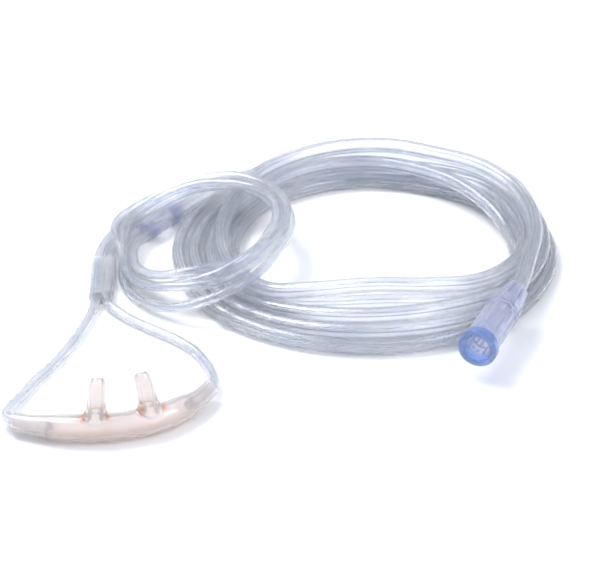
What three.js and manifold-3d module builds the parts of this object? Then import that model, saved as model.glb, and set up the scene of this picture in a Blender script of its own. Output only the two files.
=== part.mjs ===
// Nasal oxygen cannula, coiled as it lies on a table.
// Millimetres, +Z up, floor at z = 0. The origin is under the middle of the nasal piece.
import * as THREE from 'three';
import { mergeVertices } from 'three/addons/utils/BufferGeometryUtils.js';
import Module from 'manifold-3d';

const wasm = await Module();
wasm.setup();

// Fits and tubes
const gap = 0.3;
const lariatDiameter = 3.6;
const supplyDiameter = 6;
const lariatSides = 8;
const supplySides = 10;
const lariatStep = 9.4;
const supplyStep = 13.2;

// Nasal piece: an oval hollow body bent to the lip, with two prongs
const nasalHalfLength = 37.5;
const nasalDepth = 9.8;
const nasalHeight = 9.4;
const nasalEndDiameter = 6;
const nasalWall = 1.4;
const nasalBendLeft = 62;
const nasalBendRight = 40;
const nasalYaw = THREE.MathUtils.degToRad(13);
const prongSpacing = 19;
const prongRise = 16.6;
const prongRootDiameter = 7.2;
const prongTipDiameter = 5.5;
const prongBore = 3.6;
const prongFlare = 1;
const flareTop = 0.5;
const flareReach = 0.2;
const prongSweepBack = 4.6;
const prongLean = 1.4;
const tipRoundStart = 0.85;
const tipRoundInset = 0.6;
const nasalTaperStart = 0.42;
const nasalTaperEnd = 0.95;
const nasalSides = 24;
const nasalRings = 30;
const prongSides = 16;
const prongRings = 12;

// Slide sleeve: an oval sleeve round both lariat tubes
const sleeveLength = 27;
const sleeveWall = 0.5;
const sleeveClearance = 0.25;
const sleeveTravel = 6;
const sleeveSides = 8;
const sleeveNear = new THREE.Vector2(-9.6, 77.6);
const sleeveHeading = THREE.MathUtils.degToRad(91.7);
const lariatSpacing = lariatDiameter + gap;

// Y-connector: two lariat sockets side by side at one end, one supply socket at the other
const yLength = 20;
const yWall = 0.75;
const yLariatSocketDepth = 5;
const ySupplySocketDepth = 7;
const yPassage = 2.4;
const yTaperStart = 0.25;
const yTaperEnd = 0.65;
const yLead = 2;
const yBend = 8;
const yBendHeight = 3.3;
const ySides = 28;
const yRings = 10;
const boreSides = 20;
const yStart = new THREE.Vector2(4, 124.5);
const yHeading = THREE.MathUtils.degToRad(58);

// Supply coil: a round coil, one turn high where the lariat coil lies across it
const coilCentre = new THREE.Vector2(85.6, 112);
const coilOuterRadius = 71.5;
const coilInnerRadius = 48.5;
const coilHeight = 18;
const coilCrownWidth = 5;
const coilSlopeWidth = 11;
const coilThinSlope = 0.16;
const coilSegments = 64;
const oneTurnHigh = supplyDiameter - gap;

// Lariat coil: a loose oval coil, flat on the floor at the left, lifted over the supply coil
const lariatCoilHeight = 2 * lariatDiameter + gap;
const liftBase = supplyDiameter + 3 * gap;
const liftStart = 95;
const liftEnd = 80;
const outsideSteps = 60;
const insideSteps = 51;

// End connector: a tapered hollow fitting with a rounded rim
const connectorLength = 43.5;
const connectorRimDiameter = 14.1;
const connectorRimLength = 5;
const connectorRimRound = 1;
const connectorBodyDiameter = 12.4;
const connectorTailDiameter = 9.2;
const connectorTaperLength = 12;
const connectorMouthBore = 9.2;
const connectorStopBore = 6.8;
const connectorMouthDepth = 22;
const connectorSocketDepth = 15;
const connectorPassage = 3.6;
const connectorSides = 32;
const connectorLead = 5;
const connectorMouth = new THREE.Vector3(121.1, 25.7, 12.5);
const connectorHeading = THREE.MathUtils.degToRad(67.3);

const clearPvc = { color: 0xe3e6f2, roughness: 0.15, metalness: 0 };
const blushPvc = { color: 0xf2ddd6, roughness: 0.2, metalness: 0 };
const violetPvc = { color: 0xc3c8ea, roughness: 0.2, metalness: 0 };

const up = new THREE.Vector3(0, 0, 1);

// A closed geometry becomes a solid once only its shared positions are left
function toSolid(geometry) {
  const bare = geometry.clone();
  bare.deleteAttribute('normal');
  bare.deleteAttribute('uv');
  const merged = mergeVertices(bare, 1e-4);
  return new wasm.Manifold(new wasm.Mesh({
    numProp: 3,
    vertProperties: new Float32Array(merged.attributes.position.array),
    triVerts: new Uint32Array(merged.index.array),
  }));
}

function fromSolid(solid) {
  const mesh = solid.getMesh();
  const geometry = new THREE.BufferGeometry();
  geometry.setAttribute('position', new THREE.BufferAttribute(mesh.vertProperties, 3));
  geometry.setIndex(new THREE.BufferAttribute(mesh.triVerts, 1));
  geometry.computeVertexNormals();
  return geometry;
}

function cut(body, ...tools) {
  return tools.reduce((left, tool) => left.subtract(toSolid(tool)), body);
}

// A cylinder whose rings follow frameAt(t): centre, side and top directions, and two radii
function loft(sides, rings, frameAt) {
  const geometry = new THREE.CylinderGeometry(1, 1, 1, sides, rings);
  const position = geometry.attributes.position;
  for (let i = 0; i < position.count; i += 1) {
    const frame = frameAt(position.getY(i) + 0.5);
    const point = frame.centre.clone()
      .addScaledVector(frame.side, position.getX(i) * frame.sideRadius)
      .addScaledVector(frame.top, position.getZ(i) * frame.topRadius);
    position.setXYZ(i, point.x, point.y, point.z);
  }
  return geometry;
}

function named(name, geometry, finish) {
  const mesh = new THREE.Mesh(geometry, new THREE.MeshStandardMaterial(finish));
  mesh.name = name;
  return mesh;
}

function heading(angle) {
  return new THREE.Vector3(Math.cos(angle), Math.sin(angle), 0);
}

// A plain tube with flat ends along a smooth route
function tube(route, diameter, sides, stepLength) {
  const curve = new THREE.CatmullRomCurve3(route, false, 'centripetal');
  const section = new THREE.Shape();
  section.absarc(0, 0, diameter / 2, 0, 2 * Math.PI);
  return new THREE.ExtrudeGeometry(section, {
    steps: Math.max(2, Math.round(curve.getLength() / stepLength)),
    curveSegments: sides / 2,
    extrudePath: curve,
  });
}

// The nasal body's middle line: two arcs that meet at the middle, run from -1 to 1
function nasalLine(share) {
  const radius = share < 0 ? nasalBendLeft : nasalBendRight;
  const turn = share * nasalHalfLength / radius;
  const angle = turn + nasalYaw;
  const local = new THREE.Vector3(radius * Math.sin(turn), radius * (1 - Math.cos(turn)), nasalHeight / 2);
  return { centre: local.applyAxisAngle(up, nasalYaw), along: heading(angle), back: heading(angle + Math.PI / 2) };
}

// Full section over the middle half, easing to the round end sockets
function nasalSize(share, middle, end) {
  const ease = THREE.MathUtils.smoothstep(Math.abs(share), nasalTaperStart, nasalTaperEnd);
  return THREE.MathUtils.lerp(middle, end, ease) / 2;
}

function nasalBody(depth, height, end, reach) {
  return loft(nasalSides, nasalRings, (t) => {
    const share = (2 * t - 1) * reach;
    const line = nasalLine(share);
    return {
      centre: line.centre,
      side: line.back.negate(),
      top: up,
      sideRadius: nasalSize(share, depth, end),
      topRadius: nasalSize(share, height, end),
    };
  });
}

// A prong rises from the body's middle line and sweeps back; round turns the last rings in
function prong(side, rootDiameter, tipDiameter, from, to, round) {
  const root = nasalLine(side * prongSpacing / 2 / nasalHalfLength);
  const lineAt = (t) => root.centre.clone()
    .addScaledVector(up, prongRise * t)
    .addScaledVector(root.back, prongSweepBack * t * t)
    .addScaledVector(root.along, -side * prongLean * t);
  return loft(prongSides, prongRings, (ring) => {
    const t = from + (to - from) * ring;
    const tangent = lineAt(t + 0.01).sub(lineAt(t - 0.01)).normalize();
    const top = new THREE.Vector3().crossVectors(root.along, tangent).normalize();
    const intoRound = round ? Math.max(0, (ring - tipRoundStart) / (1 - tipRoundStart)) : 0;
    const turnedIn = Math.sqrt(1 - intoRound ** 2 * tipRoundInset);
    const flare = round ? prongFlare * THREE.MathUtils.clamp((flareTop - t) / flareReach, 0, 1) ** 2 : 0;
    const radius = THREE.MathUtils.lerp(rootDiameter, tipDiameter, t) / 2 * turnedIn + flare;
    return { centre: lineAt(t), side: root.along, top, sideRadius: radius, topRadius: radius };
  });
}

const socketBore = lariatDiameter + 2 * gap;
const nasalOuter = nasalBody(nasalDepth, nasalHeight, nasalEndDiameter, 1);
const nasalInner = nasalBody(nasalDepth - 2 * nasalWall, nasalHeight - 2 * nasalWall, socketBore, 1.02);
const nasalSolid = cut(
  toSolid(nasalOuter)
    .add(toSolid(prong(-1, prongRootDiameter, prongTipDiameter, 0, 1, true)))
    .add(toSolid(prong(1, prongRootDiameter, prongTipDiameter, 0, 1, true))),
  nasalInner,
  prong(-1, prongBore, prongBore, 0, 1.05, false),
  prong(1, prongBore, prongBore, 0, 1.05, false),
);
const nasalGeometry = fromSolid(nasalSolid);
nasalGeometry.computeBoundingBox();
const nasalMiddle = nasalGeometry.boundingBox.getCenter(new THREE.Vector3());
const nasalShift = new THREE.Vector3(-nasalMiddle.x, -nasalMiddle.y, -nasalGeometry.boundingBox.min.z);

const cannula = new THREE.Group();
const nasalPiece = named('nasal_piece', nasalGeometry, blushPvc);
nasalPiece.position.copy(nasalShift);
cannula.add(nasalPiece);

// The slide sleeve and the straight stretch of both tubes through it
const sleeveAlong = heading(sleeveHeading);
const sleeveAcross = heading(sleeveHeading - Math.PI / 2);
const sleeveBoreHeight = lariatDiameter + 2 * sleeveClearance;
const sleeveBoreWidth = sleeveBoreHeight + lariatSpacing;
const sleeveAxisHeight = sleeveBoreHeight / 2 + sleeveWall;
const sleeveStart = new THREE.Vector3(sleeveNear.x, sleeveNear.y, sleeveAxisHeight);

function oval(width, height) {
  const outline = new THREE.Shape();
  const reach = (width - height) / 2;
  outline.absarc(reach, 0, height / 2, -Math.PI / 2, Math.PI / 2);
  outline.absarc(-reach, 0, height / 2, Math.PI / 2, 3 * Math.PI / 2);
  return outline;
}

const sleeveOutline = oval(sleeveBoreWidth + 2 * sleeveWall, sleeveBoreHeight + 2 * sleeveWall);
sleeveOutline.holes.push(oval(sleeveBoreWidth, sleeveBoreHeight));
const sleeveGeometry = new THREE.ExtrudeGeometry(sleeveOutline, {
  depth: sleeveLength,
  bevelEnabled: false,
  curveSegments: sleeveSides,
});
sleeveGeometry.rotateX(Math.PI / 2).translate(0, sleeveLength, 0);
const slideSleeve = named('slide_sleeve', sleeveGeometry, clearPvc);
slideSleeve.position.copy(sleeveStart);
slideSleeve.rotation.z = sleeveHeading - Math.PI / 2;
cannula.add(slideSleeve);

// A lariat tube: off the nasal piece's end, along the floor, straight through the sleeve
function lariatRoute(side, floorPoints, endPoints) {
  const end = nasalLine(side);
  const leaving = [gap, 2].map((reach) => end.centre.clone().add(nasalShift)
    .addScaledVector(end.along, side * reach));
  const straight = [-1.5, sleeveLength / 2, sleeveLength + sleeveTravel].map((reach) => sleeveStart.clone()
    .addScaledVector(sleeveAlong, reach)
    .addScaledVector(sleeveAcross, side * lariatSpacing / 2));
  return [...leaving, ...floorPoints.map(([x, y, z]) => new THREE.Vector3(x, y, z)), ...straight,
    ...endPoints.map(([x, y, z]) => new THREE.Vector3(x, y, z))];
}

const leftFloor = [
  [-34.6, 3.6, 3.3], [-33.8, 8.7, 2.4], [-31.4, 15.4, 1.9], [-28.5, 23.1, 1.9], [-24.5, 31, 1.9],
  [-20.9, 39, 1.9], [-17.6, 48.1, 1.9], [-14.9, 57.5, 2], [-12.7, 67, 2.2],
];
const rightFloor = [
  [32.2, 23.1, 3], [30.6, 30, 2.2], [27.8, 37.5, 1.9], [23.3, 45.1, 1.9], [17.2, 51.2, 1.9],
  [9.9, 57, 1.9], [2.6, 62.8, 1.9], [-3.2, 69, 2.2],
];
const leftEnd = [[-12.6, 116.5, 2.8], [-12.2, 119.5, 3.2]];
const rightEnd = [[-8.6, 113.2, 2.8], [-8.5, 114.4, 2.9]];
cannula.add(named('lariat_tube_left', tube(lariatRoute(-1, leftFloor, leftEnd),
  lariatDiameter, lariatSides, lariatStep), clearPvc));
cannula.add(named('lariat_tube_right', tube(lariatRoute(1, rightFloor, rightEnd),
  lariatDiameter, lariatSides, lariatStep), clearPvc));

// The lariat coil's outline from above, outside and inside
const lariatCoilOutside = [
  [-5.3, 100], [-5.3, 111], [-7, 117.5], [-10.6, 124], [-9.4, 132], [-5, 141], [2.5, 148], [12, 151.5],
  [24, 152.5], [36, 150.5], [49, 140.5], [56.5, 127], [60.4, 112], [59, 101], [53.3, 86], [43, 73],
  [31, 66], [18.5, 66.5], [7, 76.5], [-1.5, 88],
];
const lariatCoilInside = [
  [-0.6, 100], [-1, 111], [-3.2, 120], [-1.6, 129], [3.6, 138], [10.5, 145.6], [20, 145.2], [31, 142],
  [42, 137.5], [49.5, 128], [52.5, 117], [51, 104], [45, 92.5], [36, 84.5], [25, 80.5], [14, 82.5], [5, 89.5],
];

function closedOutline(points, divisions) {
  const curve = new THREE.CatmullRomCurve3(points.map(([x, y]) => new THREE.Vector3(x, y, 0)), true);
  return curve.getPoints(divisions).slice(0, divisions).map((point) => new THREE.Vector2(point.x, point.y));
}

// How far the lariat coil is lifted at a place: nothing on the floor, over the turns of the supply coil
function lift(x, y) {
  const reach = Math.hypot(x - coilCentre.x, y - coilCentre.y);
  const onCoil = 1 - THREE.MathUtils.smoothstep(reach, liftEnd, liftStart);
  return onCoil * (liftBase + coilThinSlope * (x - coilCentre.x + coilOuterRadius));
}

const lariatCoilShape = new THREE.Shape(closedOutline(lariatCoilOutside, outsideSteps));
lariatCoilShape.holes.push(new THREE.Path(closedOutline(lariatCoilInside, insideSteps).reverse()));
const lariatCoilGeometry = new THREE.ExtrudeGeometry(lariatCoilShape, {
  depth: lariatCoilHeight,
  bevelEnabled: false,
});
const coilPoints = lariatCoilGeometry.attributes.position;
for (let i = 0; i < coilPoints.count; i += 1) {
  coilPoints.setZ(i, coilPoints.getZ(i) + lift(coilPoints.getX(i), coilPoints.getY(i)));
}
cannula.add(named('lariat_coil', lariatCoilGeometry, clearPvc));

// The Y-connector, along its own x from the lariat end to the supply end
const ySupplyOuter = supplyDiameter + 2 * gap + 2 * yWall;
const yLariatHeight = lariatDiameter + 2 * gap + 2 * yWall;
const yLariatWidth = yLariatHeight + lariatSpacing;
const yAxisHeight = ySupplyOuter / 2;

function rod(diameter, from, to, across) {
  const geometry = new THREE.CylinderGeometry(diameter / 2, diameter / 2, to - from, boreSides);
  return geometry.rotateZ(-Math.PI / 2).translate((from + to) / 2, across, 0);
}

// The shell eases from the lariat end's oval to the supply end's round
function ySize(t, lariatSize) {
  const ease = THREE.MathUtils.smoothstep(t, yTaperStart, yTaperEnd);
  return THREE.MathUtils.lerp(lariatSize, ySupplyOuter, ease) / 2;
}

const yShell = loft(ySides, yRings, (t) => ({
  centre: new THREE.Vector3(t * yLength, 0, 0),
  side: new THREE.Vector3(0, -1, 0),
  top: up,
  sideRadius: ySize(t, yLariatWidth),
  topRadius: ySize(t, yLariatHeight),
}));
const ySolid = cut(
  toSolid(yShell),
  rod(socketBore, -1, yLariatSocketDepth, -lariatSpacing / 2),
  rod(socketBore, -1, yLariatSocketDepth, lariatSpacing / 2),
  rod(yPassage, yLariatSocketDepth - 1, yLength - ySupplySocketDepth + 1, -lariatSpacing / 2),
  rod(yPassage, yLariatSocketDepth - 1, yLength - ySupplySocketDepth + 1, lariatSpacing / 2),
  rod(supplyDiameter + 2 * gap, yLength - ySupplySocketDepth, yLength + 1, 0),
);
const yConnector = named('y_connector', fromSolid(ySolid), violetPvc);
yConnector.position.set(yStart.x, yStart.y, yAxisHeight);
yConnector.rotation.z = yHeading;
cannula.add(yConnector);

function onY(along, across, height = yAxisHeight) {
  return new THREE.Vector3(yStart.x, yStart.y, height)
    .addScaledVector(heading(yHeading), along)
    .addScaledVector(heading(yHeading + Math.PI / 2), across);
}

// The lariat tubes again, from the lariat coil into the Y-connector
for (const [name, side] of [['lariat_end_left', 1], ['lariat_end_right', -1]]) {
  const route = [onY(yLariatSocketDepth - gap, side * lariatSpacing / 2), onY(0, side * lariatSpacing / 2),
    onY(-3, side * lariatSpacing / 2, yAxisHeight - 0.5), onY(-5, side * lariatSpacing / 2, yAxisHeight - 1)];
  cannula.add(named(name, tube(route, lariatDiameter, lariatSides, lariatStep / 2), clearPvc));
}

// The supply tube from the Y-connector, under the lariat coil, to the outside of the supply coil
const leadRadius = coilOuterRadius + supplyDiameter / 2 + gap;
const leadTurns = [141, 134, 128].map((degrees) => {
  const angle = THREE.MathUtils.degToRad(degrees);
  return new THREE.Vector3(coilCentre.x, coilCentre.y, supplyDiameter / 2)
    .addScaledVector(heading(angle), leadRadius);
});
const leadRoute = [onY(yLength - ySupplySocketDepth + gap, 0), onY(yLength - yLead, 0),
  onY(yLength + yLead, 0), onY(yLength + yBend, 0, yBendHeight),
  new THREE.Vector3(22, 153, supplyDiameter / 2), ...leadTurns];
cannula.add(named('supply_lead', tube(leadRoute, supplyDiameter, supplySides, supplyStep), clearPvc));

// The supply coil's section: low at the outside, a slope of turns, and a crown at the inside
const coilSection = [
  [coilInnerRadius, 0],
  [coilOuterRadius, 0],
  [coilOuterRadius, oneTurnHigh],
  [coilInnerRadius + coilCrownWidth + coilSlopeWidth, oneTurnHigh],
  [coilInnerRadius + coilCrownWidth, coilHeight],
  [coilInnerRadius, coilHeight],
  [coilInnerRadius, 0],
].map(([radius, height]) => new THREE.Vector2(radius, height));
const coilRing = new THREE.LatheGeometry(coilSection, coilSegments).rotateX(Math.PI / 2);
const overCoil = new THREE.BoxGeometry(4 * coilOuterRadius, 3 * coilOuterRadius, 4 * coilHeight)
  .translate(0, 0, 2 * coilHeight)
  .rotateY(-Math.atan(coilThinSlope))
  .translate(-coilOuterRadius, 0, oneTurnHigh);
const supplyCoil = named('supply_coil', fromSolid(cut(toSolid(coilRing), overCoil)), clearPvc);
supplyCoil.position.set(coilCentre.x, coilCentre.y, 0);
cannula.add(supplyCoil);

// The end connector, turned about its own axis from the mouth, y = 0, to the tail
const bodyEnd = connectorLength - connectorTaperLength;
const passageEnd = connectorLength - connectorSocketDepth;
const connectorSection = [
  [connectorMouthBore / 2, 0],
  [connectorRimDiameter / 2 - connectorRimRound, 0],
  [connectorRimDiameter / 2, connectorRimRound],
  [connectorRimDiameter / 2, connectorRimLength - connectorRimRound],
  [connectorBodyDiameter / 2, connectorRimLength],
  [connectorBodyDiameter / 2, bodyEnd],
  [connectorTailDiameter / 2, connectorLength],
  [supplyDiameter / 2 + gap, connectorLength],
  [supplyDiameter / 2 + gap, passageEnd],
  [connectorPassage / 2, passageEnd],
  [connectorPassage / 2, connectorMouthDepth],
  [connectorStopBore / 2, connectorMouthDepth],
  [connectorMouthBore / 2, 0],
].map(([radius, height]) => new THREE.Vector2(radius, height));
const connectorGeometry = new THREE.LatheGeometry(connectorSection, connectorSides);
const endConnector = named('end_connector', connectorGeometry, violetPvc);
endConnector.position.copy(connectorMouth);
endConnector.rotation.z = connectorHeading - Math.PI / 2;
cannula.add(endConnector);

// The supply tube's last stretch, off the top of the coil into the end connector
const connectorAlong = heading(connectorHeading);
const tailStart = [passageEnd + gap, connectorLength, connectorLength + connectorLead].map(
  (reach) => connectorMouth.clone().addScaledVector(connectorAlong, reach),
);
const overCoilRoute = [[142.9, 82.5, 13.4], [145, 92.4, 13.9], [147.2, 104, 13.6], [148.9, 116, 12.9], [148.6, 128, 12.5]];
const tailRoute = [...tailStart, ...overCoilRoute.map(([x, y, z]) => new THREE.Vector3(x, y, z))];
cannula.add(named('supply_tail', tube(tailRoute, supplyDiameter, supplySides, supplyStep), clearPvc));

export default cannula;
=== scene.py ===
"""Nasal oxygen cannula, coiled on a pale table. Metres, +Z up, floor at z = 0."""
import math

import bpy
import numpy as np
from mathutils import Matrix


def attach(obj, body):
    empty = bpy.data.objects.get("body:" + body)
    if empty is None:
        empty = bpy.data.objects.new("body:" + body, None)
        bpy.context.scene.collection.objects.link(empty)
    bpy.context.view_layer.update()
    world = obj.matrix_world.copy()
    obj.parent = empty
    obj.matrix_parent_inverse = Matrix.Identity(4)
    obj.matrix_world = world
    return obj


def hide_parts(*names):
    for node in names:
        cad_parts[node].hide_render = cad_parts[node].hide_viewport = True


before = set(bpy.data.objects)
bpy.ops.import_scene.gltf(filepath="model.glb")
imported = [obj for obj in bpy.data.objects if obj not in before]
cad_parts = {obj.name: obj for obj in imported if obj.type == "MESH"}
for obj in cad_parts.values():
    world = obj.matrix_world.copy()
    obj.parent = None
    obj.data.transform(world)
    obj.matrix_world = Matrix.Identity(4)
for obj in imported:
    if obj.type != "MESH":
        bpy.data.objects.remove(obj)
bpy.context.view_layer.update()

# Camera: it looks along +Y, 30 degrees down, at the middle of the layout, from 0.9 m away.
# The lens gives 2475 pixels of focal length on an image 591 pixels wide.
camera_distance = 0.9
camera_down = math.radians(30)
focal_pixels, image_pixels = 2475, 591
layout_middle = np.array([0.060, 0.090, 0])
camera_data = bpy.data.cameras.new("camera")
camera_data.sensor_width = 36.0
camera_data.lens = camera_data.sensor_width * focal_pixels / image_pixels
camera_data.clip_start = 0.05
camera = bpy.data.objects.new("camera", camera_data)
camera.location = layout_middle + camera_distance * np.array(
    [0, -math.cos(camera_down), math.sin(camera_down)])
camera.rotation_euler = (math.radians(90) - camera_down, 0, 0)
bpy.context.collection.objects.link(camera)
bpy.context.scene.camera = camera


# Left lariat tube: clear soft PVC, extruded 3.6 mm outside with a 2.1 mm bore. Its end is pushed and glued
# into the nasal piece's left socket; it runs through the slide sleeve and two turns of the small coil,
# and its other end is glued into the Y-connector.
def smooth_line(points, spacing):
    """Points along a Catmull-Rom curve through the given mm points, evenly spaced, in metres: each span is
    the cubic that leaves and arrives parallel to the chords of its neighbours."""
    p = np.asarray(points, float) / 1000
    p = np.vstack([2 * p[0] - p[1], p, 2 * p[-1] - p[-2]])
    p0, p1, p2, p3 = (p[k:len(p) - 3 + k, None] for k in range(4))
    t = np.linspace(0, 1, 16, endpoint=False)[None, :, None]
    dense = 0.5 * (2 * p1 + (p2 - p0) * t + (2 * p0 - 5 * p1 + 4 * p2 - p3) * t**2
                   + (3 * p1 - p0 - 3 * p2 + p3) * t**3)
    dense = np.vstack([dense.reshape(-1, 3), p[-2]])
    reach = np.r_[0, np.cumsum(np.linalg.norm(np.diff(dense, axis=0), axis=1))]
    even = np.linspace(0, reach[-1], int(reach[-1] / spacing) + 1)
    return np.stack([np.interp(even, reach, dense[:, axis]) for axis in range(3)], axis=1)


def sweep(line, across, upward):
    """Rings of points round a line: each ring's point k is the line's point plus across[k] sideways and
    upward[k] upwards, square to the line. across and upward hold one row for all rings or one for each."""
    ahead = np.gradient(line, axis=0)
    ahead /= np.linalg.norm(ahead, axis=1, keepdims=True)
    side = np.cross(ahead, (0, 0, 1))
    side /= np.linalg.norm(side, axis=1, keepdims=True)
    top = np.cross(side, ahead)
    across, upward = np.asarray(across)[..., None], np.asarray(upward)[..., None]
    return line[:, None] + across * side[:, None] + upward * top[:, None]


def skin(name, rings, loop):
    """A closed smooth mesh over rings of points, joined row to row. With loop the last row joins the first;
    without it the two end rows are closed by flat caps. Faces are turned so that the volume is positive."""
    rows, sides = rings.shape[:2]
    points = rings.reshape(-1, 3)
    row = np.arange(rows if loop else rows - 1)[:, None]
    column = np.arange(sides)[None]
    here, after = row * sides, (row + 1) % rows * sides
    beside = (column + 1) % sides
    quads = np.stack([here + column, here + beside, after + beside, after + column], axis=-1).reshape(-1, 4)
    a, b, c, d = (points[quads[:, k]] for k in range(4))
    volume = np.einsum("ij,ij->i", np.cross(c - a, d - b), a + c).sum()
    faces = quads.tolist()
    if not loop:
        faces += [list(range(sides))[::-1], list(range((rows - 1) * sides, rows * sides))]
    mesh = bpy.data.meshes.new(name)
    mesh.from_pydata(points.tolist(), [], faces)
    if volume < 0:
        mesh.flip_normals()
    mesh.polygons.foreach_set("use_smooth", np.ones(len(mesh.polygons), bool))
    mesh.update()
    piece = bpy.data.objects.new(name, mesh)
    bpy.context.collection.objects.link(piece)
    return piece


def hollow_tube(name, line, outer, bore):
    """A tube round a line: a circle of the outer radius along it, then back inside along the bore, whose
    radius for each direction is bore(angle). The ends are flat rims."""
    angle = np.linspace(0, 2 * np.pi, 24, endpoint=False)
    inside = bore(angle)
    skin_out = sweep(line, outer * np.cos(angle), outer * np.sin(angle))
    skin_in = sweep(line, inside * np.cos(angle), inside * np.sin(angle))
    return skin(name, np.concatenate([skin_out, skin_in[::-1]]), loop=True)


class Wire:
    """A shader socket that takes part in sums: +, - and * on wires and numbers make Math nodes."""

    def __init__(self, tree, socket):
        self.tree, self.socket = tree, socket

    def node(self, kind, settings, inputs, output=0):
        """Makes a node of that type: first its settings are set, then its sockets get values or links."""
        made = self.tree.nodes.new(kind)
        for key, value in settings.items():
            setattr(made, key, value)
        for key, value in inputs.items():
            if isinstance(value, Wire):
                self.tree.links.new(value.socket, made.inputs[key])
            else:
                made.inputs[key].default_value = value
        return Wire(self.tree, made.outputs[output]) if made.outputs else made

    def math(self, operation, *values):
        return self.node("ShaderNodeMath", {"operation": operation}, dict(enumerate(values)))

    def __add__(self, other):
        return self.math("ADD", self, other)

    def __radd__(self, other):
        return self.math("ADD", other, self)

    def __sub__(self, other):
        return self.math("SUBTRACT", self, other)

    def __rsub__(self, other):
        return self.math("SUBTRACT", other, self)

    def __mul__(self, other):
        return self.math("MULTIPLY", self, other)

    def __rmul__(self, other):
        return self.math("MULTIPLY", other, self)

    def clamped(self, low, high):
        """0 at or below low, 1 at or above high, and a smooth step between."""
        return self.node("ShaderNodeMapRange", {"interpolation_type": "SMOOTHSTEP"},
                         {"Value": self, "From Min": low, "From Max": high})

    def noise(self, scale, detail=3.0):
        return self.node("ShaderNodeTexNoise", {}, {"Vector": self, "Scale": scale, "Detail": detail})

    def mix(self, first, second):
        """The first colour where this wire is 0 and the second where it is 1."""
        return self.node("ShaderNodeMix", {"data_type": "RGBA"}, {0: self, 6: first, 7: second}, output=2)


def plastic(name, colour_at, rough, clear, tint_through, see_through):
    """Soft clear plastic. colour_at(place, start) gives its colour from object coordinates; rough is the
    roughness of its smooth and of its duller patches; clear is the share of light refracted through it."""
    material = bpy.data.materials.new(name)
    material.use_nodes = True
    tree = material.node_tree
    tree.nodes.clear()
    start = Wire(tree, None)
    place = start.node("ShaderNodeTexCoord", {}, {}, output="Object")
    patches = place.noise(90.0).clamped(0.35, 0.7)
    ripple = place.noise(420.0, 2.0)
    bump = start.node("ShaderNodeBump", {}, {"Height": ripple, "Strength": 0.12, "Distance": 0.0002})
    surface = start.node("ShaderNodeBsdfPrincipled", {}, {
        "Base Color": colour_at(place, patches),
        "Roughness": patches * (rough[1] - rough[0]) + rough[0],
        "Transmission Weight": clear,
        "IOR": 1.5,
        "Specular Tint": tint_through,
        "Coat Weight": 0.3,
        "Coat Roughness": 0.06,
        "Alpha": see_through,
        "Normal": bump,
    })
    start.node("ShaderNodeOutputMaterial", {}, {"Surface": surface})
    return material


def tube_colour(place, patches):
    """Nearly white, a little bluer in patches."""
    return patches.mix((0.87, 0.90, 0.96, 1), (0.94, 0.95, 0.98, 1))


tube_clear = plastic("clear_tube_pvc", tube_colour, rough=(0.02, 0.06), clear=0.96,
                     tint_through=(0.95, 0.96, 1, 1), see_through=0.74)


def round_bore(angle):
    """The lariat tubes' bore, 2.1 mm across all round."""
    return np.full(len(angle), 0.00105)


lariat_radius = 0.00178
lariat_spacing = 0.0022
left_line = smooth_line([
    (-19.6, -9.8, 4.7), (-28.4, -7.8, 4.7), (-35.4, -3.2, 4.4), (-34.8, 5.6, 2.9), (-31.9, 14.1, 2),
    (-28.7, 22.6, 1.9), (-24.7, 30.6, 1.9), (-21, 38.9, 1.9), (-17.9, 47.3, 1.9), (-15.3, 56, 2),
    (-13.2, 64.8, 2.1), (-11.7, 73.6, 2.5), (-11.6, 82.7, 2.6), (-12, 91.7, 2.5), (-12.2, 100.7, 2.5),
    (-12.5, 109.7, 2.6), (-11.1, 118.6, 2.3), (-8.4, 127.2, 1.9), (-5.5, 135.7, 1.8), (-0.4, 143.1, 2),
    (6.8, 148.1, 3.5), (15, 150.3, 6.6), (23.5, 151, 9.5), (32, 149.7, 12.1), (39.9, 145.9, 14.2),
    (46.8, 140.1, 14.3), (52.1, 132.8, 14.7), (55.8, 124.6, 15.3), (58, 115.9, 15.7), (58.3, 106.9, 15.8),
    (56.5, 98.1, 15.5), (53.4, 89.7, 15), (49.8, 81.4, 14.4), (45.2, 73.7, 13.8), (38.7, 67.5, 12.8),
    (30.8, 64, 10.6), (22.4, 64.1, 7.5), (14.4, 67.3, 4.7), (7.6, 72.9, 3), (2.1, 79.9, 2.1),
    (-1.7, 88.1, 1.8), (-3.1, 97, 2), (-3.8, 106, 2.9), (-5.8, 114.6, 4.6), (-7.7, 123.3, 5.6),
    (-6.4, 132.2, 5.5), (-1.8, 139.9, 5.5), (4.9, 145.6, 6.8), (12.9, 148.7, 9.7), (21.4, 149.4, 12.6),
    (30, 148.3, 15), (38, 144.8, 17), (45.2, 139.5, 17.6), (51.1, 132.7, 18.2), (54.9, 124.5, 18.7),
    (56.7, 115.7, 19), (56.3, 106.7, 18.9), (53.5, 98.2, 18.5), (48.8, 90.6, 17.8), (42.7, 84, 16.5),
    (35.7, 79, 14.2), (27.4, 76.5, 11.6), (18.9, 77.1, 8.8), (11.2, 80.7, 5.8), (5.2, 87, 3.8),
    (1.5, 95.2, 3), (-0.2, 104, 2.9), (-1.2, 113, 3.2), (0.2, 121.8, 3.9), (4.8, 129.5, 4),
], lariat_spacing)
lariat_left = hollow_tube("lariat_left", left_line, lariat_radius, round_bore)
lariat_left.data.materials.append(tube_clear)
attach(lariat_left, "cannula")
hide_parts("lariat_tube_left", "lariat_end_left", "lariat_coil")

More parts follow.
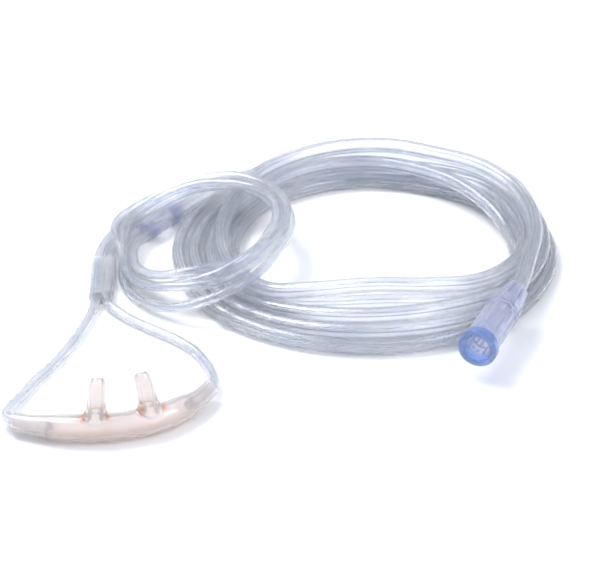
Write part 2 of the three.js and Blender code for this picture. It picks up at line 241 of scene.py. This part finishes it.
# Right lariat tube: the same clear PVC tube on the nasal piece's other side. It lies inside the left one in
# the small coil, turn for turn.
right_line = smooth_line([
    (23.8, 2.6, 4.7), (29.2, 9.8, 4.7), (32.3, 18.1, 4.2), (31.5, 26.9, 2.5), (28.7, 35.5, 1.9),
    (24.5, 43.4, 1.9), (18.4, 50.1, 1.9), (11.4, 55.8, 1.9), (4.3, 61.4, 1.9), (-2.1, 67.7, 2.1),
    (-7.3, 75, 2.5), (-8.1, 84, 2.6), (-8.1, 93, 2.5), (-8.4, 102.1, 2.5), (-8.6, 111.1, 2.5),
    (-6.7, 119.9, 1.8), (-4.1, 128.5, 1.8), (-0.7, 136.9, 2), (5.4, 143.2, 3.6), (13.2, 146.3, 6.8),
    (21.6, 147.3, 9.7), (30.3, 146.3, 11.9), (38.3, 142.7, 13.7), (45.1, 136.7, 13.8), (49.9, 129.1, 14.3),
    (53.2, 120.8, 14.8), (54.9, 111.9, 15), (54.1, 102.9, 14.9), (51.3, 94.4, 14.5), (46.9, 86.5, 13.9),
    (41.1, 79.7, 12.8), (33.8, 74.6, 11.7), (25.1, 72.8, 10.7), (16.4, 74.3, 9.2), (8.6, 78.5, 7.2),
    (2.5, 84.9, 5.8), (-1.6, 92.9, 5.5), (-3.1, 101.8, 6.2), (-3, 110.8, 7), (-3.6, 119.7, 6.4),
    (-3.5, 128.7, 5.5), (0.3, 136.7, 5.9), (7, 142.4, 7.8), (15.1, 145.1, 10.8), (23.7, 145.3, 13.3),
    (32.2, 142.8, 15.1), (40, 138.5, 16.5), (46.7, 132.6, 17.5), (51, 124.7, 18.2), (52.9, 115.9, 18.4),
    (52.5, 107, 17.9), (49.7, 98.5, 16.6), (45.3, 90.8, 14.7), (38.9, 84.7, 13.7), (30.8, 80.6, 13.7),
    (22.1, 79, 12.9), (13.6, 80.7, 10.4), (6.7, 85.8, 8), (2.1, 93.5, 6.9), (0.5, 102.3, 6.7),
    (0.9, 111.3, 6), (3.5, 119.7, 4.3), (8.1, 127.5, 4),
], lariat_spacing)
lariat_right = hollow_tube("lariat_right", right_line, lariat_radius, round_bore)
lariat_right.data.materials.append(tube_clear)
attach(lariat_right, "cannula")
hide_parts("lariat_tube_right", "lariat_end_right")


# Supply tube: clear PVC, extruded 6 mm outside with a star-shaped bore that stays open in a kink. One end is
# glued into the Y-connector; it lies in five and a third turns and ends in the end connector.
def star_bore(angle):
    """Five soft ridges along the bore: the radius swings between 2.1 and 1.4 mm."""
    return 0.00175 + 0.00035 * np.cos(5 * angle)


supply_radius = 0.00294
supply_spacing = 0.0028
supply_line = smooth_line([
    (11, 135.8, 4), (21.3, 151.7, 3.2), (33.9, 165.8, 3), (49.9, 175.8, 3), (68.1, 180.8, 3),
    (86.9, 180.7, 3), (105.4, 176.4, 3), (122.5, 168.5, 3), (137.2, 156.7, 3), (147.2, 140.7, 3),
    (153.2, 122.8, 3), (153.5, 103.9, 3), (148.5, 85.7, 3), (139.1, 69.3, 3), (125.5, 56.2, 3),
    (108.8, 47.5, 3), (90.3, 43.5, 3), (71.5, 45, 3), (53.7, 51.2, 3), (38.1, 61.9, 3), (26.6, 76.9, 3),
    (19.4, 94.3, 3), (17.1, 113.1, 3), (20.1, 131.7, 3), (27.8, 149, 3.1), (40.1, 163.2, 4),
    (56.4, 172.5, 5.9), (74.6, 177.3, 7.5), (93.5, 177.6, 8.6), (111.8, 173.1, 9.7), (128.5, 164.4, 10.4),
    (141, 150.3, 9.5), (148.5, 133.1, 8.7), (151.2, 114.4, 8.3), (148.4, 95.7, 8.1), (140.2, 78.7, 7.7),
    (127.1, 65.4, 9.7), (110.3, 56.8, 10.4), (91.7, 53.2, 10.1), (73.1, 55.3, 8.7), (56, 63, 6.2),
    (42, 75.3, 3.6), (32.8, 91.8, 3), (29, 110.2, 3.1), (31.8, 128.9, 3.6), (39.8, 145.9, 3.9),
    (52.5, 159.4, 7.3), (68.9, 168.7, 8.4), (87.4, 171.9, 8.7), (105.3, 166.2, 9.3), (121.1, 155.7, 8.7),
    (132.9, 141.1, 6.9), (140.2, 124, 4), (141.5, 105.3, 3.1), (135.2, 87.6, 4.9), (124.5, 72.3, 7.1),
    (108.5, 62.8, 10), (90.1, 59, 12), (71.8, 61.9, 9.4), (55.7, 70.6, 4.8), (43.6, 84.8, 3),
    (37.6, 102.7, 3), (37, 121.6, 3.1), (42.8, 139.5, 3), (54.2, 154.5, 3), (70.3, 164.3, 3),
    (88.8, 167.8, 3), (107.3, 164.3, 3), (124.3, 156.1, 3), (137.5, 142.6, 3), (145.8, 125.7, 3),
    (148, 107, 3), (142.4, 89, 3), (133.1, 72.5, 3.2), (119.8, 59.3, 4.4), (102.8, 51.3, 5.7),
    (84.2, 48.4, 6.2), (65.8, 52.2, 5.2), (49.1, 60.9, 3.8), (35.4, 73.9, 3), (26.9, 90.7, 3),
    (23.1, 109.2, 3), (25.2, 127.9, 3), (32.7, 145.3, 3), (44.9, 159.6, 3), (61.4, 168.8, 3),
    (79.6, 173.9, 3), (98.3, 172.4, 4.2), (116, 166.2, 6.5), (130.7, 154.6, 8.4), (140.3, 138.4, 8.9),
    (144.8, 120.1, 8.5), (143.1, 101.3, 8.9), (135.8, 84, 11), (123.3, 70.3, 13.5), (106, 63.4, 16.2),
    (87.2, 61.9, 17.2), (68.6, 63.8, 14.4), (51.7, 70.7, 9.8), (39.8, 85, 8), (33.6, 102.9, 7.6),
    (32.8, 121.7, 8.7), (37.1, 140, 9.6), (46.1, 156.3, 12.2), (60.6, 168.3, 13.4), (77.9, 175.8, 13.8),
    (96.6, 175.4, 14.6), (114, 168, 14.9), (130.1, 158.1, 15.2), (141.9, 143.6, 14.5),
    (147.4, 125.6, 13.6), (147.7, 106.7, 13.5), (144.1, 88.1, 13.4), (139.5, 69.7, 12.5),
    (132.2, 52.3, 12.5),
], supply_spacing)
supply = hollow_tube("supply_tube", supply_line, supply_radius, star_bore)
supply.data.materials.append(tube_clear)
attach(supply, "cannula")
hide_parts("supply_lead", "supply_coil", "supply_tail")


# Nasal piece: one soft PVC moulding, hollow, bent to the lip, with two tapering prongs that curve back.
# Its body and prongs are made as plain solids, cut out, and then skinned anew, which rounds every edge.
nasal_place = (0.0037166, -0.0089335)
nasal_middle_height = 0.0047
nasal_half_length = 0.0375
prong_offset = 0.0095
prong_root, prong_tip, prong_bore = 0.0073, 0.0056, 0.0036
prong_rise, prong_bend, prong_lean = 0.0166, 0.0046, 0.0014


def bent_line(share):
    """The body's middle line: two arcs that meet at the middle, of 62 mm radius left and 40 mm right, turned
    13 degrees. share runs from -1 to 1. Returns points, and the directions along and back."""
    share = np.atleast_1d(share)
    radius = np.where(share < 0, 0.062, 0.040)
    turn = share * nasal_half_length / radius
    x, y = radius * np.sin(turn), radius * (1 - np.cos(turn))
    yaw = math.radians(13)
    points = np.stack([x * math.cos(yaw) - y * math.sin(yaw) + nasal_place[0],
                       x * math.sin(yaw) + y * math.cos(yaw) + nasal_place[1],
                       np.full(len(share), nasal_middle_height)], axis=1)
    angle = turn + yaw
    along = np.stack([np.cos(angle), np.sin(angle), 0 * angle], axis=1)
    return points, along, np.stack([-np.sin(angle), np.cos(angle), 0 * angle], axis=1)


def nasal_tube(name, depth, height, end, reach):
    """The body's skin: an oval ring at each place along the middle line, full over the middle and easing to
    a round of the end's size."""
    share = np.linspace(-reach, reach, 61)
    points, along, back = bent_line(share)
    t = np.clip((np.abs(share) - 0.42) / 0.53, 0, 1)[:, None]
    ease = t * t * (3 - 2 * t)
    angle = np.linspace(0, 2 * np.pi, 48, endpoint=False)[None]
    wide = (depth + (end - depth) * ease) / 2 * np.cos(angle)
    high = (height + (end - height) * ease) / 2 * np.sin(angle)
    rings = points[:, None] - wide[..., None] * back[:, None] + high[..., None] * np.array([0, 0, 1.0])
    return skin(name, rings, loop=False)


def prong_tube(name, side, root, tip, start, stop, rounded):
    """A prong's skin: rings along a line that rises from the body's middle line and bends back with the
    square of its height, narrowing from root to tip; a rounded one flares at its root and turns in at its
    tip."""
    base, along, back = (v[0] for v in bent_line(side * prong_offset / nasal_half_length))
    ring = np.linspace(0, 1, 25)[:, None]
    t = start + (stop - start) * ring
    line = (base + prong_rise * t * np.array([0, 0, 1.0]) + prong_bend * t * t * back
            - side * prong_lean * t * along)
    turned = np.sqrt(1 - 0.6 * np.clip((ring - 0.85) / 0.15, 0, 1) ** 2) if rounded else np.ones_like(ring)
    flare = 0.001 * np.clip((0.5 - t) / 0.2, 0, 1) ** 2 if rounded else 0
    radius = (root + (tip - root) * t) / 2 * turned + flare
    ahead = np.gradient(line, axis=0)
    ahead /= np.linalg.norm(ahead, axis=1, keepdims=True)
    top = np.cross(along[None], ahead)
    angle = np.linspace(0, 2 * np.pi, 32, endpoint=False)[None]
    rings = (line[:, None] + (radius * np.cos(angle))[..., None] * along
             + (radius * np.sin(angle))[..., None] * top[:, None])
    return skin(name, rings, loop=False)


def carve(piece, joined, removed, grain, passes):
    """Joins solids to a piece, cuts others out of it, and skins the result anew with a grain and some passes
    of smoothing, which round its edges. The solids that were used are deleted."""
    for operation, solids in (("UNION", joined), ("DIFFERENCE", removed)):
        for solid in solids:
            step = piece.modifiers.new(operation.lower(), "BOOLEAN")
            step.operation = operation
            step.solver = "EXACT"
            step.object = solid
    remesh = piece.modifiers.new("skin", "REMESH")
    remesh.mode = "VOXEL"
    remesh.voxel_size = grain
    remesh.use_smooth_shade = True
    soft = piece.modifiers.new("soft", "SMOOTH")
    soft.factor = 0.5
    soft.iterations = passes
    made = bpy.data.meshes.new_from_object(piece.evaluated_get(bpy.context.evaluated_depsgraph_get()))
    piece.modifiers.clear()
    piece.data = made
    for solid in [*joined, *removed]:
        bpy.data.objects.remove(solid)
    return piece


nasal = carve(
    nasal_tube("nasal", 0.0098, 0.0094, 0.006, 1),
    [prong_tube("prong", side, prong_root, prong_tip, 0, 1, True) for side in (-1, 1)],
    [nasal_tube("cavity", 0.007, 0.0066, 0.0042, 1.02)]
    + [prong_tube("bore", side, prong_bore, prong_bore, 0, 1.05, False) for side in (-1, 1)],
    grain=0.0003, passes=4)
# Marks on its skin: a flame-shaped stain on both flanks of each prong's root, and a dark ring at each end and
# where the tube ends inside, 13.5 mm from it.
tube_depth = 0.0135
points = np.empty(len(nasal.data.vertices) * 3)
nasal.data.vertices.foreach_get("co", points)
points = points.reshape(-1, 3)
accent = np.zeros(len(points))
end_mark = np.zeros(len(points))
for side in (-1, 1):
    (root,), (along,), _ = bent_line(side * prong_offset / nasal_half_length)
    off = points - root
    flank = np.abs(off @ along)
    reach = np.hypot(off[:, 0], off[:, 1]) + 1e-9
    flame = np.exp(-((reach - 0.0040) / 0.0012) ** 2 - ((off[:, 2] - 0.0052) / 0.0020) ** 2)
    accent = np.maximum(accent, flame * np.clip((flank / reach - 0.7) / 0.2, 0, 1))
    (end,), (outward,), _ = bent_line(side)
    short = (end - points) @ outward * side
    near_end = np.linalg.norm(points - end, axis=1) < 0.004
    end_mark = np.maximum(end_mark, near_end * np.clip(1 - short / 0.0005, 0, 1))
    end_mark = np.maximum(end_mark, 0.8 * np.clip(1 - np.abs(short - tube_depth) / 0.0006, 0, 1))
nasal.data.attributes.new("accent", "FLOAT", "POINT").data.foreach_set("value", accent)
nasal.data.attributes.new("end_mark", "FLOAT", "POINT").data.foreach_set("value", end_mark)


def nasal_colour(place, patches):
    """Pale blush, warm orange-brown beside the prongs' roots, peach along the lower edge, and violet rings at
    the rims and where the tubes end inside."""
    accent = place.node("ShaderNodeAttribute", {"attribute_name": "accent"}, {}, output=2)
    end_mark = place.node("ShaderNodeAttribute", {"attribute_name": "end_mark"}, {}, output=2)
    height = place.node("ShaderNodeSeparateXYZ", {}, {0: place}, output=2)
    pale = patches.mix((0.93, 0.87, 0.84, 1), (0.96, 0.90, 0.88, 1))
    low = height.clamped(0.004, 0.0005) * 0.7
    peach = low.mix(pale, (0.95, 0.76, 0.66, 1))
    marked = (end_mark * 0.7).mix(peach, (0.50, 0.33, 0.45, 1))
    return accent.mix(marked, (0.80, 0.24, 0.05, 1))


nasal.data.materials.clear()
nasal.data.materials.append(plastic("blush_pvc", nasal_colour, rough=(0.05, 0.14), clear=0.85,
                                    tint_through=(1, 0.95, 0.93, 1), see_through=0.85))
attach(nasal, "cannula")
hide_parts("nasal_piece")


# Slide sleeve: a short oval length of thin clear vinyl, cut from extruded tube, gripping both lariat tubes
# side by side. It slides along them to draw the loop up under the chin.
def oval(angle, half_width, half_height):
    """A flat-sided oval: a circle of the height, spread sideways by what the width has more."""
    spread = half_width - half_height
    across = np.cos(angle) * half_height + np.clip(np.cos(angle) * 4, -1, 1) * spread
    return across, np.sin(angle) * half_height


sleeve_start = np.array([-0.0096, 0.0776, 0.00255])
sleeve_along = np.array([math.cos(math.radians(91.7)), math.sin(math.radians(91.7)), 0])
angle = np.linspace(0, 2 * np.pi, 64, endpoint=False)
wall = np.array([0, 0.1, 0.25, *[0.25] * 10, 0.1, 0, -0.1, -0.25, *[-0.25] * 10, -0.1]) / 1000
along = np.array([0, 0.05, 0.25, *np.linspace(2, 25, 10), 26.75, 27, 26.95, 26.75,
                  *np.linspace(25, 2, 10), 0.05]) / 1000
sleeve_rings = []
for out, far in zip(wall, along):
    wide, high = oval(angle, 0.00425 + out, 0.0023 + out)
    sleeve_rings.append((sleeve_start + sleeve_along * far)
                        + wide[:, None] * np.array([sleeve_along[1], -sleeve_along[0], 0])
                        + high[:, None] * np.array([0, 0, 1.0]))
sleeve = skin("slide_sleeve_vinyl", np.array(sleeve_rings), loop=True)


def sleeve_colour(place, patches):
    """Clear, with painted shade, a blue-grey darkening, on its left side."""
    x = place.node("ShaderNodeSeparateXYZ", {}, {0: place}, output=0)
    # Painted shade: the sleeve's left side is darkened to blue-grey.
    painted_left_shade = x.clamped(-0.0105, -0.0125)
    return painted_left_shade.mix((0.97, 0.975, 0.985, 1), (0.74, 0.80, 0.88, 1))


sleeve.data.materials.append(plastic("sleeve_vinyl", sleeve_colour, rough=(0.12, 0.22), clear=0.8,
                                     tint_through=(0.95, 0.97, 1, 1), see_through=0.52))
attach(sleeve, "slide")
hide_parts("slide_sleeve")

# Y-connector: a small clear PVC moulding with two sockets side by side for the lariat tubes and one for the
# supply tube. The tubes are glued in, and the solvent leaves violet marks at its ends.
y_start = np.array([0.004, 0.1245, 0.00405])
y_along = np.array([math.cos(math.radians(58)), math.sin(math.radians(58)), 0])


def y_rod(name, first, last, wide, high, across=0.0):
    """A rod along the connector from first to last mm, with half sizes given at rings between them."""
    wide, high = np.broadcast_arrays(np.atleast_1d(wide), np.atleast_1d(high))
    count = max(len(wide), 2)
    line = y_start + np.linspace(first, last, count)[:, None] / 1000 * y_along
    line = line + across / 1000 * np.array([-y_along[1], y_along[0], 0])
    turn = np.linspace(0, 2 * np.pi, 40, endpoint=False)[None]
    scale = np.ones((count, 1)) / 1000
    return skin(name, sweep(line, scale * np.reshape(wide, (-1, 1)) * np.cos(turn),
                            scale * np.reshape(high, (-1, 1)) * np.sin(turn)), loop=False)


t = np.clip((np.linspace(0, 1, 21) - 0.25) / 0.4, 0, 1)
ease = t * t * (3 - 2 * t)
y_piece = carve(
    y_rod("y_fitting", 0, 20, 4.8 + (4.05 - 4.8) * ease, 2.85 + (4.05 - 2.85) * ease),
    [],
    [y_rod("socket", -1, 5, 2.1, 2.1, across) for across in (-1.95, 1.95)]
    + [y_rod("passage", 4, 14, 1.2, 1.2, across) for across in (-1.95, 1.95)]
    + [y_rod("supply_socket", 13, 21, 3.3, 3.3)],
    grain=0.0002, passes=3)


def y_colour(place, patches):
    """Pale lilac, violet in bands near both ends and at the step between the sockets."""
    along = place.node("ShaderNodeVectorMath", {"operation": "DOT_PRODUCT"},
                       {0: place, 1: tuple(y_along)}, output=1) - float(y_start @ y_along)
    band = along.clamped(0.004, 0.002) + along.clamped(0.0125, 0.014) * along.clamped(0.0195, 0.018)
    return (band * 0.7).mix((0.86, 0.88, 0.97, 1), (0.58, 0.60, 0.90, 1))


y_piece.data.materials.clear()
y_piece.data.materials.append(plastic("y_pvc", y_colour, rough=(0.06, 0.15), clear=0.85,
                                      tint_through=(0.85, 0.86, 1, 1), see_through=0.75))
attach(y_piece, "cannula")
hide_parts("y_connector")


# End connector: a soft violet-tinted PVC moulding that pushes onto the oxygen outlet. It has a rounded rim,
# shallow flutes for grip and a slotted tail that grips the supply tube, which is glued in.
def closed_profile(stations):
    """Axis positions and radii along a closed outline, from its corner points, eight steps to a side."""
    corner = np.array(stations + stations[:1], float) / 1000
    t = np.linspace(0, 1, 8, endpoint=False)[None, :, None]
    return (corner[:-1, None] * (1 - t) + corner[1:, None] * t).reshape(-1, 2)


profile = closed_profile([
    (0.6, 4.7), (0, 5.3), (0.2, 6.3), (1.1, 7.0), (3.6, 7.05), (4.8, 6.5), (6, 6.15), (17, 6.1),
    (24.4, 6.1), (24.8, 6.25), (25.2, 6.1), (26.6, 6.1), (27, 6.25), (27.4, 6.1), (31, 6.1),
    (35.3, 5.6), (39.4, 4.95), (42.8, 4.5), (43.5, 3.9), (43.3, 3.3), (28.6, 3.3), (28.5, 1.8),
    (22.1, 1.8), (22, 3.4), (9, 4.1), (8, 4.15)])
far, out = profile[:, :1], profile[:, 1:]
connector_mouth = np.array([0.1211, 0.0257, 0.0125])
heading = math.radians(67.3)
connector_along = np.array([math.cos(heading), math.sin(heading), 0])
connector_side = np.array([connector_along[1], -connector_along[0], 0])
angle = np.linspace(0, 2 * np.pi, 96, endpoint=False)[None]
outside = (far > 0.0055) & (out > 0.0042)
flute = np.where(outside, 0.00022 * (np.cos(12 * angle) - 1), 0)
slot_depth = 0.0008
slotted = (far > 0.0325) & (far < 0.0415) & (out > 0.004)
notch = np.where(slotted, -slot_depth * np.clip(np.cos(8 * angle + 0.5) * 5 - 4, 0, 1), 0)
toothed = (far > 0.0085) & (far < 0.0225) & (out > 0.0025) & (out < 0.0042)
teeth = np.where(toothed, -0.0006 * np.abs(np.sin(7 * angle)), 0)
radius = out + flute + notch + teeth
rings = (connector_mouth + far[..., None] * connector_along
         + (radius * np.cos(angle))[..., None] * connector_side
         + (radius * np.sin(angle))[..., None] * np.array([0, 0, 1.0]))
connector = skin("end_connector_pvc", rings, loop=True)
# Painted shade: the tail's slots and a line on each of its two small ribs are marked to be coloured
# near-black violet.
ring_line = outside & ((np.abs(far - 0.0248) < 0.0003) | (np.abs(far - 0.0270) < 0.0003))
shade = np.clip(-notch / slot_depth + 0.8 * ring_line, 0, 1).astype(float)
connector.data.attributes.new("painted_slot_rib_shade", "FLOAT", "POINT").data.foreach_set("value", shade.ravel())


def connector_colour(place, patches):
    """Pale violet-blue, deeper blue at the rim, and painted shade, a near-black violet, in the slots of the
    tail and along its two small ribs.
    """
    along = place.node("ShaderNodeVectorMath", {"operation": "DOT_PRODUCT"},
                       {0: place, 1: tuple(connector_along)}, output=1)
    along = along - float(connector_mouth @ connector_along)
    # Painted shade in the tail's slots and along the two small ribs.
    slot_and_rib_shade = place.node("ShaderNodeAttribute", {"attribute_name": "painted_slot_rib_shade"}, {}, output=2)
    rim = along.clamped(0.0065, 0.004)
    main = patches.mix((0.70, 0.74, 0.93, 1), (0.77, 0.80, 0.95, 1))
    return slot_and_rib_shade.mix(rim.mix(main, (0.22, 0.38, 0.80, 1)), (0.10, 0.08, 0.32, 1))


connector.data.materials.append(plastic("connector_pvc", connector_colour, rough=(0.05, 0.14), clear=0.78,
                                        tint_through=(0.8, 0.84, 1, 1), see_through=0.86))
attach(connector, "cannula")
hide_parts("end_connector")


# Table and backdrop: one white sheet that fills the view, under a broad soft light from above left and a
# weaker one from the right, with a slightly darker room round them.
floor_mesh = bpy.data.meshes.new("table")
floor_mesh.from_pydata([(-6, -6, 0), (6, -6, 0), (6, 6, 0), (-6, 6, 0)], [], [(0, 1, 2, 3)])
floor = bpy.data.objects.new("table", floor_mesh)
bpy.context.collection.objects.link(floor)
floor_material = bpy.data.materials.new("white_sheet")
floor_material.use_nodes = True
floor_tree = floor_material.node_tree
floor_tree.nodes.clear()
start = Wire(floor_tree, None)
place = start.node("ShaderNodeTexCoord", {}, {}, output="Object")
paper = place.noise(30.0)
sheet = start.node("ShaderNodeBsdfPrincipled", {}, {
    "Base Color": paper.mix((0.94, 0.94, 0.945, 1), (0.955, 0.955, 0.96, 1)),
    "Roughness": 0.9,
    "Specular IOR Level": 0.1,
})
start.node("ShaderNodeOutputMaterial", {}, {"Surface": sheet})
floor_mesh.materials.append(floor_material)

world = bpy.data.worlds.new("studio")
bpy.context.scene.world = world
world.use_nodes = True
world.node_tree.nodes["Background"].inputs["Color"].default_value = (0.86, 0.9, 1, 1)
world.node_tree.nodes["Background"].inputs["Strength"].default_value = 0.75

for light_name, spot, size, power in (("key", (-0.5, 0.5, 1.1), 0.7, 13), ("fill", (0.7, -0.3, 0.9), 0.5, 4)):
    light_data = bpy.data.lights.new(light_name, "AREA")
    light_data.size = size
    light_data.energy = power
    light = bpy.data.objects.new(light_name, light_data)
    light.location = spot
    aim = layout_middle - np.array(spot)
    light.rotation_euler = (math.atan2(math.hypot(aim[0], aim[1]), -aim[2]), 0,
                            math.atan2(aim[1], aim[0]) - math.pi / 2)
    bpy.context.collection.objects.link(light)

bpy.context.scene.view_settings.view_transform = "Standard"
cycles = bpy.context.scene.cycles
cycles.max_bounces = 16
cycles.transmission_bounces = 16
cycles.transparent_max_bounces = 32
